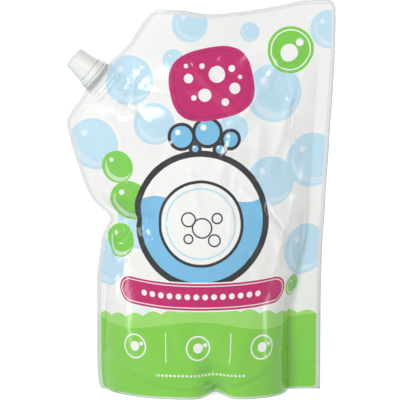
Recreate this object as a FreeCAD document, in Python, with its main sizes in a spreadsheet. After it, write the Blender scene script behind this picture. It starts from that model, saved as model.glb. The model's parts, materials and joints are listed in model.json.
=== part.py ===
import FreeCAD, Part
import Sketcher
import math
import os

# Stand-up refill pouch with a corner spout and a screw cap, in millimetres.
# The pouch stands on the plane z = 0 with its printed front toward -Y and its spout at the upper left.
# The outline was drawn once at these outer sizes, and it scales with the sizes in the sheet.

DRAWN_HEIGHT = 290.0
DRAWN_WIDTH = 196.7

SIZES = [
    # The film pouch
    ("pouch_height", 290.0),
    ("pouch_width", 196.7),
    ("base_depth", 77.0),
    ("seal_thickness", 0.5),
    ("side_seal_width", 12.0),
    ("spout_side_seal_width", 8.0),
    ("top_seal_width", 11.0),
    ("top_corner_radius", 6.0),
    ("skirt_thickness", 0.8),
    ("gusset_seal_height", 7.0),
    ("gusset_corner_height", 33.0),
    ("notch_depth", 15.0),
    ("notch_lift", 3.0),
    ("notch_width", 26.0),
    ("crease_offset", 12.0),
    ("waist_fold_depth", 5.0),
    ("top_sway", 3.2),
    # The spout fitment
    ("bore_diameter", 10.8),
    ("neck_wall", 1.3),
    ("mouth_height", 19.4),
    ("flange_diameter", 24.0),
    ("flange_thickness", 2.3),
    ("bead_height", 1.1),
    ("bead_width", 1.2),
    ("bead_level", 5.6),
    ("weld_base_width", 26.0),
    ("weld_base_thickness", 13.0),
    ("weld_base_length", 16.0),
    ("weld_rib_rise", 0.55),
    ("weld_rib_thickness", 1.3),
    ("weld_rib_first", 3.2),
    ("weld_rib_pitch", 2.9),
    ("weld_rib_count", 4),
    ("weld_tip_thickness", 1.2),
    ("seat_clearance", 0.05),
    ("film_wall", 0.5),
    # The tamper band
    ("band_diameter", 24.3),
    ("band_wall", 1.2),
    ("band_foot_chamfer", 0.4),
    ("band_shoulder_level", 4.7),
    ("band_overhang", 0.2),
    ("band_lip_thickness", 1.0),
    ("ring_gap", 0.2),
    # The screw cap and its sealing disc
    ("cap_base_level", 7.3),
    ("cap_length", 15.0),
    ("cap_base_diameter", 21.0),
    ("cap_tip_diameter", 17.0),
    ("cap_tip_radius", 1.8),
    ("cap_crown", 1.5),
    ("cap_cavity_diameter", 16.2),
    ("cap_cavity_taper", 0.6),
    ("disc_thickness", 0.8),
    ("part_clearance", 0.3),
]

doc = FreeCAD.newDocument("RefillPouch")
sheet = doc.addObject("Spreadsheet::Sheet", "sizes")
for row, (alias, number) in enumerate(SIZES, start=1):
    sheet.set(f"A{row}", alias)
    sheet.set(f"B{row}", str(number))
    sheet.setAlias(f"B{row}", alias)
doc.recompute()


class Size:
    """A length that holds both its number and the sheet expression that gives it."""

    def __init__(self, value, text):
        self.value = value
        self.text = text

    def join(self, other, sign, value):
        return Size(value, f"({self.text} {sign} {other.text})")

    def __add__(self, other):
        other = as_size(other)
        return self.join(other, "+", self.value + other.value)

    def __sub__(self, other):
        other = as_size(other)
        return self.join(other, "-", self.value - other.value)

    def __mul__(self, number):
        return Size(self.value * number, f"({self.text} * {number})")

    def __truediv__(self, number):
        return Size(self.value / number, f"({self.text} / {number})")

    def __neg__(self):
        return Size(-self.value, f"(0 - {self.text})")


def as_size(item):
    return item if isinstance(item, Size) else Size(float(item), str(item))


def cell(alias):
    return Size(float(sheet.get(alias)), f"sizes.{alias}")


def number(alias):
    return float(sheet.get(alias))


# Helpers for the turned and padded bodies


def origin_feature(body, role):
    return [f for f in body.Origin.OriginFeatures if f.Role == role][0]


def new_body(label):
    body = doc.addObject("PartDesign::Body", label)
    body.Label = label
    return body


def new_sketch(body, name, plane):
    sketch = body.newObject("Sketcher::SketchObject", name)
    sketch.AttachmentSupport = (origin_feature(body, plane), [""])
    sketch.MapMode = "FlatFace"
    return sketch


def pin_point(sketch, curve, end, across, up):
    """Fixes one end of a curve at (across, up) from the sketch origin."""
    for kind, size, axis in (("DistanceX", across, -2), ("DistanceY", up, -1)):
        if size.value == 0:
            sketch.addConstraint(Sketcher.Constraint("PointOnObject", curve, end, axis))
            continue
        index = sketch.addConstraint(Sketcher.Constraint(kind, -1, 1, curve, end, size.value))
        sketch.setExpression(f"Constraints[{index}]", size.text)


def draw_outline(sketch, corners):
    """Draws a closed outline of straight lines with every corner bound to the sheet."""
    corners = [(as_size(across), as_size(up)) for across, up in corners]
    points = [FreeCAD.Vector(across.value, up.value, 0) for across, up in corners]
    count = len(points)
    for i in range(count):
        sketch.addGeometry(Part.LineSegment(points[i], points[(i + 1) % count]), False)
    for i in range(count):
        sketch.addConstraint(Sketcher.Constraint("Coincident", i, 2, (i + 1) % count, 1))
    for i, (across, up) in enumerate(corners):
        pin_point(sketch, i, 1, across, up)


def draw_circle(sketch, diameter):
    sketch.addGeometry(Part.Circle(FreeCAD.Vector(0, 0, 0), FreeCAD.Vector(0, 0, 1), diameter.value / 2), False)
    sketch.addConstraint(Sketcher.Constraint("Coincident", 0, 3, -1, 1))
    index = sketch.addConstraint(Sketcher.Constraint("Diameter", 0, diameter.value))
    sketch.setExpression(f"Constraints[{index}]", diameter.text)


def draw_boat(sketch, width, thickness, tip):
    """Draws a lens of two arcs that end in short blunt tips at both sides."""
    half_width = width / 2
    half_tip = tip / 2
    half_thickness = thickness / 2
    for side in (1, -1):
        arc = Part.Arc(
            FreeCAD.Vector(-side * half_width.value, side * half_tip.value, 0),
            FreeCAD.Vector(0, side * half_thickness.value, 0),
            FreeCAD.Vector(side * half_width.value, side * half_tip.value, 0),
        )
        sketch.addGeometry(arc, False)
    corners = [
        (half_width, half_tip),
        (half_width, -half_tip),
        (-half_width, -half_tip),
        (-half_width, half_tip),
    ]
    points = [FreeCAD.Vector(across.value, up.value, 0) for across, up in corners]
    sketch.addGeometry(Part.LineSegment(points[0], points[1]), False)
    sketch.addGeometry(Part.LineSegment(points[2], points[3]), False)
    for line, start, end in ((2, corners[0], corners[1]), (3, corners[2], corners[3])):
        pin_point(sketch, line, 1, *start)
        pin_point(sketch, line, 2, *end)
    for arc in (0, 1):
        for end in (1, 2):
            spot = sketch.getPoint(arc, end)
            for line in (2, 3):
                for line_end in (1, 2):
                    if spot.distanceToPoint(sketch.getPoint(line, line_end)) < 1e-6:
                        sketch.addConstraint(Sketcher.Constraint("Coincident", arc, end, line, line_end))
    # The radius of an arc through both tips and the thickest point
    reach = half_width
    rise = half_thickness - half_tip
    radius = (reach.value**2 + rise.value**2) / (2 * rise.value)
    text = f"(({reach.text}) * ({reach.text}) + ({rise.text}) * ({rise.text})) / (2 * ({rise.text}))"
    for arc in (0, 1):
        index = sketch.addConstraint(Sketcher.Constraint("Radius", arc, radius))
        sketch.setExpression(f"Constraints[{index}]", text)


def revolve(body, sketch, name):
    feature = body.newObject("PartDesign::Revolution", name)
    feature.Profile = sketch
    feature.ReferenceAxis = (sketch, ["V_Axis"])
    feature.Angle = 360.0
    return feature


def pad(body, sketch, name, length, reverse):
    feature = body.newObject("PartDesign::Pad", name)
    feature.Profile = sketch
    feature.Length = length.value
    feature.setExpression("Length", length.text)
    feature.Reversed = reverse
    return feature


# The outline of the flat film, as (height, across) stations at the drawn size

LEFT_EDGE = [
    (0, -73.3), (4.1, -75.5), (18, -76.5), (85, -76.5), (92.7, -75.5), (103.9, -74.1), (114.3, -72.8),
    (121.7, -69.5), (127.7, -66.2), (132.2, -68.8), (135.9, -73), (141.5, -78.6), (148.6, -82.8),
    (157.2, -86.3), (166.4, -89.2), (176.4, -92.6), (186.4, -95.6), (194.9, -98.4), (201.2, -99.9),
    (208.5, -94.9), (216.3, -88.8), (223, -84.6), (242.4, -68), (249.7, -59.9), (257.6, -52.1),
    (266, -46.6), (274.4, -41.6), (280.3, -35.7), (282.9, -30.6), (290, -30.6),
]
RIGHT_EDGE = [
    (0, 88.4), (67, 88.5), (97, 89), (113.6, 89.7), (129, 90.9), (151.5, 91.9), (171, 93.5), (201, 95),
    (223.8, 96.7), (246, 97.8), (268.4, 98.4), (290, 98.2),
]
TOP_EDGE = [
    (-30.6, 282.9), (-13, 282.2), (-0.5, 280), (5.4, 279.2), (15.6, 279.4), (28.8, 280.7), (43.5, 282.6),
    (61.8, 285.9), (70.6, 288.5), (89, 290), (98.2, 289.8),
]
# Half depth of the filled belly against height, as a share of the half depth at the base
HALF_DEPTH = [
    (0, 1.0), (30, 0.95), (60, 0.85), (100, 0.7), (140, 0.57), (180, 0.435), (210, 0.325), (240, 0.195),
    (260, 0.095), (272, 0.022), (279, 0), (290, 0),
]
# Places on the drawn outline: where the belly ends, the corner beside the spout, the notch and the spout
BELLY_TOP = 279.0
SPOUT_SIDE_TOP = 282.9
NOTCH_X = 11.2
SPOUT_HEIGHT = 233.4
SPOUT_EDGE_ENDS = (223.0, 242.4)
# Height ranges over which the shape changes: the seal beside the spout widens, the crease joins the seal,
# the full oval of the foot becomes a flat lens, and the top starts to sway
SEAL_WIDENS = (0, 120)
SEAL_WIDENS_MORE = (190, 215)
CREASE_JOINS_SEAL = (55, 120)
OVAL_BECOMES_LENS = (30, 170)
SWAY_GROWS = (190, 290)
# Powers of the cross section (inner, outer): 2 and 0.5 would be an ellipse
FOOT_LEFT_POWERS = (2.4, 0.68)
FOOT_RIGHT_POWERS = (4.0, 0.5)
LENS_POWERS = (2.0, 0.95)

height_scale = number("pouch_height") / DRAWN_HEIGHT
width_scale = number("pouch_width") / DRAWN_WIDTH


def follow(stations, place):
    """Straight-line reading of a table of stations."""
    if place <= stations[0][0]:
        return stations[0][1]
    for (low, before), (high, after) in zip(stations, stations[1:]):
        if place <= high:
            return before + (after - before) * (place - low) / (high - low)
    return stations[-1][1]


def ease(low, high, place):
    """Rises smoothly from 0 at low to 1 at high."""
    share = min(1.0, max(0.0, (place - low) / (high - low)))
    return share * share * (3 - 2 * share)


def mound(distance, width):
    return math.exp(-((distance / width) ** 2))


def left_edge(z):
    return width_scale * follow(LEFT_EDGE, z / height_scale)


def right_edge(z):
    return width_scale * follow(RIGHT_EDGE, z / height_scale)


def top_edge(x):
    return height_scale * follow(TOP_EDGE, x / width_scale)


def belly_ends(z):
    """Where the filled belly ends at this height, inside the seal at each side."""
    drawn = z / height_scale
    widening = 0.5 + 0.5 * ease(*SEAL_WIDENS, drawn) + 0.3 * ease(*SEAL_WIDENS_MORE, drawn)
    left_seal = number("spout_side_seal_width") * widening
    crease = number("crease_offset") * (1 - ease(*CREASE_JOINS_SEAL, drawn))
    right_seal = number("side_seal_width") + crease
    return left_edge(z) + left_seal, right_edge(z) - right_seal


# Where the spout leaves the slanted edge: its foot, its axis and the edge direction, in the plane y = 0

edge_low, edge_high = [height_scale * z for z in SPOUT_EDGE_ENDS]
slant = math.atan2(edge_high - edge_low, left_edge(edge_high) - left_edge(edge_low))
spout_z = height_scale * SPOUT_HEIGHT
spout_foot = FreeCAD.Vector(left_edge(spout_z), 0, spout_z)
spout_tilt = math.degrees(slant)
spout_turn = FreeCAD.Rotation(FreeCAD.Vector(0, 1, 0), -spout_tilt)
spout_placement = FreeCAD.Placement(spout_foot, spout_turn)


def spout_frame(x, z):
    """How far a point lies into the pouch from the foot of the spout, and how far across its axis."""
    dx = x - spout_foot.x
    dz = z - spout_foot.z
    inward = dx * math.sin(slant) - dz * math.cos(slant)
    across = dx * math.cos(slant) + dz * math.sin(slant)
    return inward, across


def belly_share(x, z):
    """Fullness of the belly at (x, z): 1 at the middle and 0 at the seals."""
    left, right = belly_ends(z)
    s = (2 * x - left - right) / (right - left)
    s = min(1.0, max(-1.0, s))
    foot_inner, foot_outer = FOOT_LEFT_POWERS if s < 0 else FOOT_RIGHT_POWERS
    foot = (1 - abs(s) ** foot_inner) ** foot_outer
    lens = (1 - abs(s) ** LENS_POWERS[0]) ** LENS_POWERS[1]
    return foot + (lens - foot) * ease(*OVAL_BECOMES_LENS, z / height_scale)


DRAPE_REACH = 1.24
DRAPE_POWER = 1.1
DRAPE_FALL = 3.0


def drape_over_spout(x, z):
    """Half thickness that the weld base gives the film round it, reaching past its sides and its inner end."""
    inward, across = spout_frame(x, z)
    reach = DRAPE_REACH * number("weld_base_width") / 2
    rise = number("weld_base_thickness") / 2 + number("film_wall")
    over = max(0.0, 1 - (across / reach) ** 2) ** DRAPE_POWER
    length = number("weld_base_length")
    return rise * over * (1 - ease(length, DRAPE_FALL * length, inward))


def half_thickness(x, z):
    top_seal = top_edge(x) - number("top_seal_width")
    drawn = z / max(top_seal, 1.0) * BELLY_TOP
    belly = number("base_depth") / 2 * follow(HALF_DEPTH, drawn) * belly_share(x, z)
    drape = drape_over_spout(x, z)
    return number("seal_thickness") / 2 + (belly**3 + drape**3) ** (1 / 3)


# Folds that stand out or dip in, as (start, end, width, rise at start, rise at end) in drawn sizes.
# They are drawn for a waist fold of DRAWN_FOLD, and fade out where the pouch is thinner than FOLD_ROOM.

DRAWN_FOLD = 5.0
FOLD_ROOM = (0.3, 6.0)
FRONT_FOLDS = [
    ((-49.7, 250), (-49.0, 205), 4.5, 1.6, 0.6),
    ((-30, 262), (-52, 236), 5.0, 2.2, 1.4),
    ((84, 258), (62, 205), 6.0, 1.6, 1.8),
    ((62, 205), (49, 160), 7.0, 1.8, 0.6),
    ((75, 248), (67, 214), 4.0, -1.2, -0.9),
    ((57, 236), (34, 214), 6.0, 1.4, 0.8),
    ((-66, 124), (-38, 130), 6.0, -5.0, -1.0),
    ((-72, 141), (-44, 145), 6.5, 2.2, 0.6),
    ((-90, 196), (-70, 168), 7.0, -2.0, -0.8),
    ((8, 20), (3, 46), 9.0, -3.6, -0.8),
    ((66, 4), (68, 60), 4.5, -1.4, -0.8),
]
BACK_FOLDS = [
    ((-40, 258), (-30, 214), 6.0, 1.6, 0.8),
    ((78, 256), (48, 196), 7.0, 1.8, 0.8),
    ((-66, 124), (-40, 122), 6.0, -3.5, -0.8),
    ((10, 24), (14, 70), 9.0, -1.6, -0.6),
    ((60, 110), (40, 140), 8.0, -1.4, -0.8),
]


def fold_rise(folds, x, z):
    """Sum of the rounded folds, each fading out past both of its ends."""
    depth = number("waist_fold_depth") / DRAWN_FOLD
    total = 0.0
    for (x0, z0), (x1, z1), width, rise0, rise1 in folds:
        x0, x1 = x0 * width_scale, x1 * width_scale
        z0, z1 = z0 * height_scale, z1 * height_scale
        length2 = (x1 - x0) ** 2 + (z1 - z0) ** 2
        share = ((x - x0) * (x1 - x0) + (z - z0) * (z1 - z0)) / length2
        near = min(1.0, max(0.0, share))
        gap = math.hypot(x - x0 - near * (x1 - x0), z - z0 - near * (z1 - z0))
        total += (rise0 + (rise1 - rise0) * near) * mound(gap, width)
    return depth * total * ease(*FOLD_ROOM, half_thickness(x, z))


# The sway of the top: its wave along the film, where it starts beside the spout, and the still part round it

SWAY_MIDDLE = 20.0
SWAY_LENGTH = 26.0
SWAY_STARTS = (-62, -20)
STILL_REACH = 26.0
STILL_RISE = 60.0


def middle_wave(x, z):
    """How far the middle plane of the film sways to the back, most along the top seal."""
    grown = ease(*SWAY_GROWS, z / height_scale)
    along = x / width_scale
    away = 1 - mound(spout_frame(x, z)[1], STILL_REACH) * ease(0, STILL_RISE, spout_z + STILL_RISE - z)
    wave = math.sin((along - SWAY_MIDDLE) / SWAY_LENGTH) * ease(*SWAY_STARTS, along)
    return number("top_sway") * grown * wave * away


NOTCH_SHARE = 0.72
NOTCH_RISE = 17.0


def front_y(x, z):
    reach = NOTCH_SHARE * number("notch_width") / 2
    notch = number("notch_depth") * mound(x - NOTCH_X, reach) * mound(z, NOTCH_RISE)
    return middle_wave(x, z) - half_thickness(x, z) - fold_rise(FRONT_FOLDS, x, z) + notch


def back_y(x, z):
    return middle_wave(x, z) + half_thickness(x, z) + fold_rise(BACK_FOLDS, x, z)


# Surfaces of the film, each a smooth patch over a grid of guide points

BELLY_STEPS = 16
NOTCH_SHARES = [0.54, 0.617]
ROW_STEPS = 30


def belly_shares():
    """Column places across the belly, close together at its steep sides and at the notch."""
    even = [0.5 - 0.5 * math.cos(math.pi * i / BELLY_STEPS) for i in range(BELLY_STEPS + 1)]
    return sorted(even + NOTCH_SHARES)


def column_spots():
    """Column places as (zone, share): left seal, belly, right seal."""
    return [("left", 0.0)] + [("belly", share) for share in belly_shares()] + [("right", 1.0)]


def spot_x(zone, share, left_z, right_z):
    """Place across the film for a column, where the row meets the two edges at left_z and right_z."""
    inner_left = belly_ends(left_z)[0]
    inner_right = belly_ends(right_z)[1]
    if zone == "left":
        return left_edge(left_z) + share * (inner_left - left_edge(left_z))
    if zone == "belly":
        return inner_left + share * (inner_right - inner_left)
    return inner_right + share * (right_edge(right_z) - inner_right)


def film_grid(depth_at):
    left_top = height_scale * SPOUT_SIDE_TOP
    right_top = top_edge(right_edge(height_scale * DRAWN_HEIGHT))
    grid = []
    for zone, share in column_spots():
        column_top = top_edge(spot_x(zone, share, left_top, right_top))
        column = []
        for j in range(ROW_STEPS + 1):
            row = j / ROW_STEPS
            x = spot_x(zone, share, row * left_top, row * right_top)
            z = row * column_top
            column.append(FreeCAD.Vector(x, depth_at(x, z), z))
        grid.append(column)
    return grid


def smooth_patch(grid):
    """A patch whose guide points are the grid, cubic wherever the grid has four points or more."""
    degrees = [min(3, len(grid) - 1), min(3, len(grid[0]) - 1)]
    counts = [len(grid), len(grid[0])]
    knots = []
    repeats = []
    for count, degree in zip(counts, degrees):
        inner = count - degree - 1
        knots.append([float(i) for i in range(inner + 2)])
        repeats.append([degree + 1] + [1] * inner + [degree + 1])
    surface = Part.BSplineSurface()
    surface.buildFromPolesMultsKnots(
        grid, repeats[0], repeats[1], knots[0], knots[1], False, False, degrees[0], degrees[1]
    )
    return surface.toShape()


def smooth_curve(points):
    count = len(points)
    inner = count - 4
    curve = Part.BSplineCurve()
    curve.buildFromPolesMultsKnots(points, [4] + [1] * inner + [4], [float(i) for i in range(inner + 2)], False, 3)
    return curve.toShape()


def close_solid(faces):
    shell = Part.Shell(faces)
    shell.sewShape()
    solid = Part.Solid(shell)
    if solid.Volume < 0:
        solid.reverse()
    return solid


def upright_strips(grid):
    """The film as narrow upright strips, each ruled between two neighbouring columns of the grid."""
    return [smooth_patch([first, second]) for first, second in zip(grid, grid[1:])]


def straight(start, stop):
    return Part.LineSegment(start, stop).toShape()


def flat_foot(front, back):
    """The flat face between the lowest points of a front grid and a back grid."""
    ring = [column[0] for column in front] + [column[0] for column in reversed(back)]
    return Part.Face(Part.Wire([straight(a, b) for a, b in zip(ring, ring[1:] + ring[:1])]))


def film_envelope():
    """The outside of the filled pouch, closed by a flat face on the plane it stands on."""
    front = film_grid(front_y)
    back = film_grid(back_y)
    faces = upright_strips(front) + upright_strips(back)
    faces.append(smooth_patch([front[0], back[0]]))
    faces.append(smooth_patch([front[-1], back[-1]]))
    top_front = [column[-1] for column in front]
    top_back = [column[-1] for column in back]
    for i in range(len(front) - 1):
        faces.append(smooth_patch([top_front[i : i + 2], top_back[i : i + 2]]))
    faces.append(flat_foot(front, back))
    return close_solid(faces)


# The round bottom gusset: its film rises from the floor to the seal on the skirt, most at the corners

GUSSET_ROWS = 7
WALL_ROWS = 3
END_COLUMNS = 2
END_SHRINK = 2.2
UNDER_FLOOR = -2.0
CORNER_DROP = 3.0
LIFT_OVER_NOTCH = 6.0
LIFT_REACH = (13.0, 17.0)
LIFT_Y = -29.0
SEAL_CURVE = 2.6
CORNER_CURVE = 7
EDGE_CURVE = 5


def gusset_height(s, along, seal_z, x, y):
    """Height of the gusset film: s runs to the corners, along runs from the front skirt to the back one."""
    floor_z = UNDER_FLOOR + (seal_z - UNDER_FLOOR - CORNER_DROP) * s**CORNER_CURVE
    edge = abs(2 * along - 1) ** EDGE_CURVE
    lifted = LIFT_OVER_NOTCH * mound(x - NOTCH_X, LIFT_REACH[0]) * mound(y - LIFT_Y, LIFT_REACH[1])
    return floor_z + (seal_z - floor_z) * edge + lifted * (1 - edge)


def gusset_space():
    """The open space under the gusset, between the front skirt and the back skirt."""
    left, right = belly_ends(0)
    skirt = number("skirt_thickness")
    corner_rise = number("gusset_corner_height") - number("gusset_seal_height")
    front_wall, back_wall, gusset = [], [], []
    for share in belly_shares()[END_COLUMNS:-END_COLUMNS]:
        side = 2 * share - 1
        s = abs(side)
        film_x = left + share * (right - left)
        x = film_x - END_SHRINK * side * s**EDGE_CURVE
        seal_z = number("gusset_seal_height") + corner_rise * s**SEAL_CURVE
        levels = [UNDER_FLOOR + (seal_z - UNDER_FLOOR) * j / WALL_ROWS for j in range(WALL_ROWS + 1)]
        front_wall.append([FreeCAD.Vector(x, front_y(film_x, max(z, 0.0)) + skirt, z) for z in levels])
        back_wall.append([FreeCAD.Vector(x, back_y(film_x, max(z, 0.0)) - skirt, z) for z in levels])
        start, stop = front_wall[-1][-1].y, back_wall[-1][-1].y
        column = []
        for j in range(GUSSET_ROWS + 1):
            along = j / GUSSET_ROWS
            y = start + (stop - start) * along
            column.append(FreeCAD.Vector(x, y, gusset_height(s, along, seal_z, x, y)))
        gusset.append(column)
    faces = upright_strips(front_wall) + upright_strips(back_wall) + upright_strips(gusset)
    faces.append(flat_foot(front_wall, back_wall))
    for end in (0, -1):
        rim = [
            smooth_curve(front_wall[end]),
            smooth_curve(gusset[end]),
            smooth_curve(back_wall[end]),
            straight(back_wall[end][0], front_wall[end][0]),
        ]
        faces.append(Part.Face(Part.Wire(rim)))
    return close_solid(faces)


def boat_block(width, thickness, low, high):
    """A lens-shaped block along the spout axis, from low to high, placed at the spout."""
    tip = number("weld_tip_thickness") / 2
    arcs = [
        Part.Arc(
            FreeCAD.Vector(-side * width / 2, side * tip, low),
            FreeCAD.Vector(0, side * thickness / 2, low),
            FreeCAD.Vector(side * width / 2, side * tip, low),
        ).toShape()
        for side in (1, -1)
    ]
    ends = [
        Part.LineSegment(
            FreeCAD.Vector(side * width / 2, tip, low), FreeCAD.Vector(side * width / 2, -tip, low)
        ).toShape()
        for side in (1, -1)
    ]
    face = Part.Face(Part.Wire([arcs[0], ends[0], arcs[1], ends[1]]))
    block = face.extrude(FreeCAD.Vector(0, 0, high - low))
    block.Placement = spout_placement
    return block


def rib_levels():
    """Middle level of every weld rib along the spout axis, counted into the pouch."""
    count = int(number("weld_rib_count"))
    return [number("weld_rib_first") + i * number("weld_rib_pitch") for i in range(count)]


FLANGE_ROOM = 1.0


def make_pouch():
    """The filled pouch: its envelope, less the gusset space, notch and spout seat, with the film sleeve on."""
    solid = film_envelope()
    depth = number("base_depth")
    backward = FreeCAD.Vector(0, 1, 0)
    # Rounded top corner away from the spout
    radius = number("top_corner_radius")
    corner_x = right_edge(height_scale * DRAWN_HEIGHT)
    corner = FreeCAD.Vector(corner_x - radius, -depth / 2, top_edge(corner_x) - radius)
    block = Part.makeBox(2 * radius, depth, 2 * radius, corner)
    rounding = Part.makeCylinder(radius, depth, corner, backward)
    solid = solid.cut(block.cut(rounding))
    # Open space under the gusset, and the lifted notch in the front skirt
    solid = solid.cut(gusset_space())
    lift = number("notch_lift")
    arch_radius = ((number("notch_width") / 2) ** 2 + lift**2) / (2 * lift)
    arch_foot = FreeCAD.Vector(NOTCH_X * width_scale, -depth / 2 - number("notch_depth") / 2, lift - arch_radius)
    arch = Part.makeCylinder(arch_radius, depth / 3, arch_foot, backward)
    solid = solid.cut(arch)
    # Film sleeve over the weld base with its ribs showing through, then the seat of the base
    wall = number("film_wall")
    width = number("weld_base_width")
    thickness = number("weld_base_thickness")
    length = number("weld_base_length")
    rise = number("weld_rib_rise")
    gap = number("ring_gap")
    half_rib = number("weld_rib_thickness") / 2
    core_width = width - 2 * rise
    core_thickness = thickness - 2 * rise
    sleeve = boat_block(core_width + 2 * wall, core_thickness + 2 * wall, -length - wall, -gap)
    solid = solid.fuse(sleeve)
    for level in rib_levels():
        rib = boat_block(width + 2 * wall, thickness + 2 * wall, -level - half_rib - wall, -level + half_rib + wall)
        solid = solid.fuse(rib)
    free = number("seat_clearance")
    seat = boat_block(core_width + 2 * free, core_thickness + 2 * free, -length - free, length)
    solid = solid.cut(seat)
    for level in rib_levels():
        groove = boat_block(width + 2 * free, thickness + 2 * free, -level - half_rib - free, -level + half_rib + free)
        solid = solid.cut(groove)
    room_radius = number("band_diameter") / 2 + FLANGE_ROOM
    flange_room = Part.makeCylinder(room_radius, number("mouth_height"), FreeCAD.Vector(0, 0, -gap))
    flange_room.Placement = spout_placement
    solid = solid.cut(flange_room)
    return max(solid.Solids, key=lambda piece: piece.Volume)


pouch = doc.addObject("Part::Feature", "pouch")
pouch.Label = "pouch"
pouch.Shape = make_pouch()


# Spout fitment: neck, flange and bead turned in one, with the lens-shaped weld base and its ribs padded below

spout = new_body("spout")
neck_radius = cell("bore_diameter") / 2 + cell("neck_wall")
bead_radius = neck_radius + cell("bead_height")
bead_top = cell("bead_level") + cell("bead_width")
core_width = cell("weld_base_width") - cell("weld_rib_rise") * 2
core_thickness = cell("weld_base_thickness") - cell("weld_rib_rise") * 2
flange_radius = cell("flange_diameter") / 2
NECK_CHAMFER = 0.3

neck_sketch = new_sketch(spout, "neck_outline", "XZ_Plane")
draw_outline(
    neck_sketch,
    [
        (0, 0),
        (flange_radius - NECK_CHAMFER, 0),
        (flange_radius, NECK_CHAMFER),
        (flange_radius, cell("flange_thickness") - NECK_CHAMFER),
        (flange_radius - NECK_CHAMFER, cell("flange_thickness")),
        (neck_radius, cell("flange_thickness")),
        (neck_radius, cell("bead_level")),
        (bead_radius, cell("bead_level")),
        (neck_radius, bead_top),
        (neck_radius, cell("mouth_height") - NECK_CHAMFER),
        (neck_radius - NECK_CHAMFER, cell("mouth_height")),
        (0, cell("mouth_height")),
    ],
)
revolve(spout, neck_sketch, "neck")

core_sketch = new_sketch(spout, "weld_core_outline", "XY_Plane")
draw_boat(core_sketch, core_width, core_thickness, cell("weld_tip_thickness"))
pad(spout, core_sketch, "weld_core", cell("weld_base_length"), True)

rib_sketch = new_sketch(spout, "weld_rib_outline", "XY_Plane")
draw_boat(rib_sketch, cell("weld_base_width"), cell("weld_base_thickness"), cell("weld_tip_thickness"))
rib_first = cell("weld_rib_first") + cell("weld_rib_thickness") / 2
rib_sketch.AttachmentOffset = FreeCAD.Placement(FreeCAD.Vector(0, 0, -rib_first.value), FreeCAD.Rotation())
rib_sketch.setExpression("AttachmentOffset.Base.z", (-rib_first).text)
first_rib = pad(spout, rib_sketch, "weld_rib", cell("weld_rib_thickness"), False)
spout.Tip = first_rib
doc.recompute()
ribs = spout.newObject("PartDesign::LinearPattern", "weld_ribs")
ribs.Originals = [first_rib]
ribs.Direction = (origin_feature(spout, "Z_Axis"), [""])
ribs.Reversed = True
rib_span = cell("weld_rib_pitch").text + " * (sizes.weld_rib_count - 1)"
ribs.Length = number("weld_rib_pitch") * (number("weld_rib_count") - 1)
ribs.setExpression("Length", rib_span)
ribs.Occurrences = int(number("weld_rib_count"))
ribs.setExpression("Occurrences", "sizes.weld_rib_count")
spout.Tip = ribs
doc.recompute()

bore_sketch = new_sketch(spout, "bore_outline", "XY_Plane")
draw_circle(bore_sketch, cell("bore_diameter"))
bore = spout.newObject("PartDesign::Pocket", "bore")
bore.Profile = bore_sketch
bore.Type = "ThroughAll"
bore.Midplane = True
spout.Placement = spout_placement

# Tamper band: a flared ring with an inner lip that stays under the bead of the neck

tamper_band = new_body("tamper_band")
band_foot = cell("flange_thickness") + cell("ring_gap")
band_top = cell("cap_base_level") - cell("ring_gap")
band_radius = cell("band_diameter") / 2
band_top_radius = cell("cap_base_diameter") / 2 + cell("band_overhang")
band_inner_radius = band_radius - cell("band_wall")
lip_radius = neck_radius + cell("part_clearance")
lip_top = cell("bead_level") - cell("part_clearance")
lip_foot = lip_top - cell("band_lip_thickness")
band_sketch = new_sketch(tamper_band, "band_outline", "XZ_Plane")
draw_outline(
    band_sketch,
    [
        (band_inner_radius, band_foot),
        (band_radius - cell("band_foot_chamfer"), band_foot),
        (band_radius, band_foot + cell("band_foot_chamfer")),
        (band_radius - cell("band_overhang"), cell("band_shoulder_level")),
        (band_top_radius, band_top),
        (band_top_radius - cell("band_wall"), band_top),
        (band_top_radius - cell("band_wall"), lip_top),
        (lip_radius, lip_top),
        (lip_radius, lip_foot),
        (band_inner_radius, lip_foot),
    ],
)
revolve(tamper_band, band_sketch, "band")
tamper_band.Placement = spout_placement

# Screw cap: tapered outside with a rounded tip, hollow inside up to the crown

cap = new_body("cap")
cap_radius = cell("cap_base_diameter") / 2
tip_radius = cell("cap_tip_diameter") / 2
cap_top = cell("cap_base_level") + cell("cap_length")
crown_inside = cap_top - cell("cap_crown")
cavity_radius = cell("cap_cavity_diameter") / 2
cap_sketch = new_sketch(cap, "cap_outline", "XZ_Plane")
draw_outline(
    cap_sketch,
    [
        (cavity_radius, cell("cap_base_level")),
        (cap_radius, cell("cap_base_level")),
        (tip_radius, cap_top),
        (0, cap_top),
        (0, crown_inside),
        (cavity_radius - cell("cap_cavity_taper"), crown_inside),
    ],
)
cap_shell = revolve(cap, cap_sketch, "cap_shell")
doc.recompute()
tip_edge = [
    f"Edge{i}"
    for i, edge in enumerate(cap_shell.Shape.Edges, start=1)
    if len(edge.Vertexes) == 1 and abs(edge.BoundBox.ZMin - cap_top.value) < 1e-4
]
rounding = cap.newObject("PartDesign::Fillet", "tip_rounding")
rounding.Base = (cap_shell, tip_edge)
rounding.Radius = number("cap_tip_radius")
rounding.setExpression("Radius", "sizes.cap_tip_radius")
cap.Placement = spout_placement

# Sealing disc: the thin liner in the crown of the cap, over the mouth of the spout

sealing_disc = new_body("sealing_disc")
disc_radius = cavity_radius - cell("cap_cavity_taper") - cell("part_clearance")
disc_foot = cell("mouth_height") + cell("part_clearance")
disc_sketch = new_sketch(sealing_disc, "disc_outline", "XZ_Plane")
draw_outline(
    disc_sketch,
    [
        (0, disc_foot),
        (disc_radius, disc_foot),
        (disc_radius, disc_foot + cell("disc_thickness")),
        (0, disc_foot + cell("disc_thickness")),
    ],
)
revolve(sealing_disc, disc_sketch, "disc")
sealing_disc.Placement = spout_placement

doc.recompute()

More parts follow.
